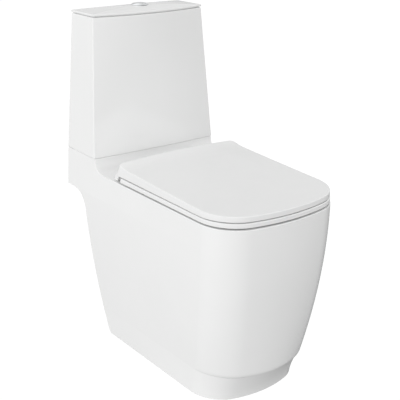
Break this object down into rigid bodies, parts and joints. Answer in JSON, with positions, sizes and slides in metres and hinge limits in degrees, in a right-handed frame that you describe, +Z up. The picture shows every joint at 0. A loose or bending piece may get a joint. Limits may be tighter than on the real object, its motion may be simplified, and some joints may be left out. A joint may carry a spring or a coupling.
{
  "type": "close coupled toilet",
  "caption": "Close coupled toilet: skirted pan with a tapered cistern standing on its rear shelf, flat crowned lid with a round dual push button, and a wrap-over hinged seat and cover.",
  "frame": {"origin": "on the floor, at the centre of the object's bounding box", "axes": "+Z up; X runs across the toilet; -Y is the front, and the wall stands behind it at +Y, where the cistern is"},
  "size_m": [0.3752, 0.677, 0.8609],
  "materials": {
    "glazed_ceramic": "high gloss white glaze",
    "seat_plastic": "smooth gloss white",
    "white_plastic": "moulded satin",
    "blue_plastic": "moulded satin",
    "black_rubber": "matt",
    "grey_silicone": "matt, slightly soft",
    "chrome": "polished",
    "steel": "drawn and stamped stainless"
  },
  "bodies": {
    "root": {"pan": "glazed_ceramic", "cistern": "glazed_ceramic", "hinge_post_left": "chrome", "hinge_pin_left": "steel", "hinge_bolt_left": "steel", "hinge_washer_left": "black_rubber", "hinge_nut_left": "white_plastic", "hinge_post_right": "chrome", "hinge_pin_right": "steel", "hinge_bolt_right": "steel", "hinge_washer_right": "black_rubber", "hinge_nut_right": "white_plastic", "flush_valve_base": "white_plastic", "flush_valve_gasket": "black_rubber", "flush_valve_washer": "black_rubber", "flush_valve_nut": "white_plastic", "coupling_gasket": "black_rubber", "coupling_plate": "steel", "coupling_bolt_left": "steel", "coupling_washer_left": "black_rubber", "coupling_nut_left": "steel", "coupling_bolt_right": "steel", "coupling_washer_right": "black_rubber", "coupling_nut_right": "steel", "flush_valve_tower": "white_plastic", "fill_valve_body": "white_plastic", "fill_valve_washer": "black_rubber", "fill_valve_nut": "white_plastic", "fill_valve_head": "blue_plastic"},
    "seat_ring": {"seat_ring": "seat_plastic", "ring_buffer_1": "grey_silicone", "ring_buffer_2": "grey_silicone", "ring_buffer_3": "grey_silicone", "ring_buffer_4": "grey_silicone"},
    "seat_cover": {"seat_cover": "seat_plastic", "cover_buffer_1": "grey_silicone", "cover_buffer_2": "grey_silicone", "cover_buffer_3": "grey_silicone", "cover_buffer_4": "grey_silicone"},
    "cistern_lid": {"cistern_lid": "glazed_ceramic", "button_housing": "chrome", "button_nut": "white_plastic", "button_spring_full": "steel", "button_spring_half": "steel"},
    "full_button": {"button_full": "chrome", "push_rod_full": "white_plastic"},
    "half_button": {"button_half": "chrome", "push_rod_half": "white_plastic"},
    "canister": {"flush_valve_canister": "blue_plastic", "flush_valve_seal": "grey_silicone"},
    "rocker_full": {"flush_rocker_full": "white_plastic"},
    "rocker_half": {"flush_rocker_half": "white_plastic"},
    "float": {"float_cup": "white_plastic", "float_rod": "steel"},
    "float_lever": {"float_lever": "white_plastic"}
  },
  "joints": [
    {"name": "seat_hinge", "type": "hinge", "parent": "root", "child": "seat_ring", "pos_m": [0, 0.11203, 0.478], "axis": [-1, 0, 0], "range_deg": [0, 95]},
    {"name": "cover_hinge", "type": "hinge", "parent": "seat_ring", "child": "seat_cover", "pos_m": [0, 0.11203, 0.478], "axis": [1, 0, 0], "range_deg": [-98, 0]},
    {"name": "cistern_lid_lift", "type": "slide", "parent": "root", "child": "cistern_lid", "axis": [0, 0, 1], "range_m": [0, 0.3]},
    {"name": "full_flush_press", "type": "slide", "parent": "cistern_lid", "child": "full_button", "axis": [0, 0, -1], "range_m": [0, 0.006], "stiffness_N_per_m": 400, "springref_m": -0.002, "deforming": ["button_spring_full"]},
    {"name": "half_flush_press", "type": "slide", "parent": "cistern_lid", "child": "half_button", "axis": [0, 0, -1], "range_m": [0, 0.006], "stiffness_N_per_m": 400, "springref_m": -0.002, "deforming": ["button_spring_half"]},
    {"name": "canister_lift", "type": "slide", "parent": "root", "child": "canister", "axis": [0, 0, 1], "range_m": [0, 0.009]},
    {"name": "rocker_full_tilt", "type": "hinge", "parent": "root", "child": "rocker_full", "pos_m": [0.02, 0.26453, 0.7125], "axis": [0, -1, 0], "range_deg": [0, 28]},
    {"name": "rocker_half_tilt", "type": "hinge", "parent": "root", "child": "rocker_half", "pos_m": [-0.02, 0.26453, 0.7125], "axis": [0, 1, 0], "range_deg": [0, 28]},
    {"name": "float_slide", "type": "slide", "parent": "root", "child": "float", "axis": [0, 0, 1], "range_m": [0, 0.016]},
    {"name": "float_lever_tilt", "type": "hinge", "parent": "root", "child": "float_lever", "pos_m": [0.129, 0.26853, 0.748], "axis": [0, 1, 0], "range_deg": [0, 28]}
  ],
  "couplings": [
    {"joint": "canister_lift", "follows": "full_flush_press", "ratio": 1.5},
    {"joint": "rocker_full_tilt", "follows": "full_flush_press", "rad_per_m": 80},
    {"joint": "rocker_half_tilt", "follows": "half_flush_press", "rad_per_m": 80},
    {"joint": "float_lever_tilt", "follows": "float_slide", "rad_per_m": 29.85}
  ]
}
